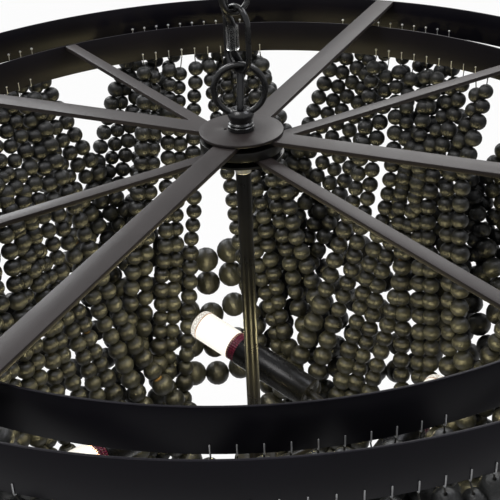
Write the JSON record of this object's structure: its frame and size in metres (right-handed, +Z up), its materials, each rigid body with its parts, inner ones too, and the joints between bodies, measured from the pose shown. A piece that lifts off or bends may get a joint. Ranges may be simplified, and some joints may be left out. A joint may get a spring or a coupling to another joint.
{
  "type": "beaded chandelier",
  "caption": "Round two-tier chandelier hung on a chain, with swags of black wooden beads on two steel bands and lamps inside.",
  "frame": {"origin": "middle of the ceiling bracket's top face, where it meets the ceiling", "axes": "+Z up, out of the ceiling; the rod, hub and chain are on the Z axis; the picture looks along +Y and down"},
  "size_m": [0.8098, 0.8098, 1.0807],
  "materials": {
    "black_steel": "satin black paint",
    "dark_brown_steel": "matt black paint, warm grey in strong light",
    "zinc_steel": "zinc plated",
    "nickel": "bright nickel plating",
    "black_wood_bead": "black-stained wood with a soft satin coat",
    "black_sleeve": "smooth black",
    "maroon_socket": "ribbed dark red-brown",
    "bulb_glass": "clear glass, lit warm white",
    "cord_jacket": "smooth black jacket",
    "clear_sleeve": "clear flexible sleeve"
  },
  "bodies": {
    "ceiling_end": {"ceiling_bracket": "zinc_steel", "canopy_dish": "black_steel", "canopy_screw_left": "black_steel", "canopy_screw_right": "black_steel", "canopy_loop": "black_steel", "loop_nut": "nickel", "supply_cord": "cord_jacket"},
    "link_top": {"chain_link_top": "black_steel"},
    "link_middle": {"chain_link_middle": "black_steel"},
    "link_bottom": {"chain_link_bottom": "black_steel", "cord_sleeve": "clear_sleeve"},
    "frame": {"hub_loop": "black_steel", "hub_top_disc": "dark_brown_steel", "upper_spider": "dark_brown_steel", "hub_spacer_disc": "dark_brown_steel", "lower_spider": "dark_brown_steel", "hub_bottom_disc": "dark_brown_steel", "hub_nipple": "nickel", "rod_collar": "nickel", "centre_rod": "black_steel", "outer_ring": "black_steel", "inner_ring": "black_steel", "outer_swag_1": "black_wood_bead", "outer_swag_2": "black_wood_bead", "outer_swag_3": "black_wood_bead", "outer_swag_4": "black_wood_bead", "outer_swag_5": "black_wood_bead", "outer_swag_6": "black_wood_bead", "outer_swag_7": "black_wood_bead", "outer_swag_8": "black_wood_bead", "outer_swag_9": "black_wood_bead", "outer_swag_10": "black_wood_bead", "inner_swag_1": "black_wood_bead", "inner_swag_2": "black_wood_bead", "inner_swag_3": "black_wood_bead", "inner_swag_4": "black_wood_bead", "inner_swag_5": "black_wood_bead", "inner_swag_6": "black_wood_bead", "inner_swag_7": "black_wood_bead", "inner_swag_8": "black_wood_bead", "lamp_hub": "black_steel", "finial": "black_steel", "lamp_arm_1": "black_steel", "lamp_arm_2": "black_steel", "lamp_arm_3": "black_steel", "lamp_arm_4": "black_steel", "lamp_sleeve_1": "black_sleeve", "lamp_sleeve_2": "black_sleeve", "lamp_sleeve_3": "black_sleeve", "lamp_sleeve_4": "black_sleeve", "socket_cup_1": "maroon_socket", "socket_cup_2": "maroon_socket", "socket_cup_3": "maroon_socket", "socket_cup_4": "maroon_socket"},
    "bulb_body_1": {"bulb_1": "bulb_glass"},
    "bulb_body_2": {"bulb_2": "bulb_glass"},
    "bulb_body_3": {"bulb_3": "bulb_glass"},
    "bulb_body_4": {"bulb_4": "bulb_glass"}
  },
  "joints": [
    {"name": "top_link_swing", "type": "hinge", "parent": "ceiling_end", "child": "link_top", "pos_m": [0, 0, -0.0603], "axis": [0.7837, 0.6211, 0], "range_deg": [-15, 15]},
    {"name": "middle_link_swing", "type": "hinge", "parent": "link_top", "child": "link_middle", "pos_m": [0, 0, -0.1078], "axis": [0.6211, -0.7837, 0], "range_deg": [-15, 15]},
    {"name": "bottom_link_swing", "type": "hinge", "parent": "link_middle", "child": "link_bottom", "pos_m": [0, 0, -0.1553], "axis": [0.7837, 0.6211, 0], "range_deg": [-15, 15]},
    {"name": "frame_swing", "type": "hinge", "parent": "link_bottom", "child": "frame", "pos_m": [0, 0, -0.2028], "axis": [0.6211, -0.7837, 0], "range_deg": [-15, 15], "deforming": ["supply_cord"]},
    {"name": "bulb_1_turn", "type": "hinge", "parent": "frame", "child": "bulb_body_1", "pos_m": [0.06092, 0.096, -0.606], "axis": [-0.7529, 0.6273, 0.1994], "range_deg": [0, 720]},
    {"name": "bulb_2_turn", "type": "hinge", "parent": "frame", "child": "bulb_body_2", "pos_m": [-0.096, 0.06092, -0.606], "axis": [-0.6273, -0.7529, 0.1994], "range_deg": [0, 720]},
    {"name": "bulb_3_turn", "type": "hinge", "parent": "frame", "child": "bulb_body_3", "pos_m": [-0.06092, -0.096, -0.606], "axis": [0.7529, -0.6273, 0.1994], "range_deg": [0, 720]},
    {"name": "bulb_4_turn", "type": "hinge", "parent": "frame", "child": "bulb_body_4", "pos_m": [0.096, -0.06092, -0.606], "axis": [0.6273, 0.7529, 0.1994], "range_deg": [0, 720]}
  ]
}
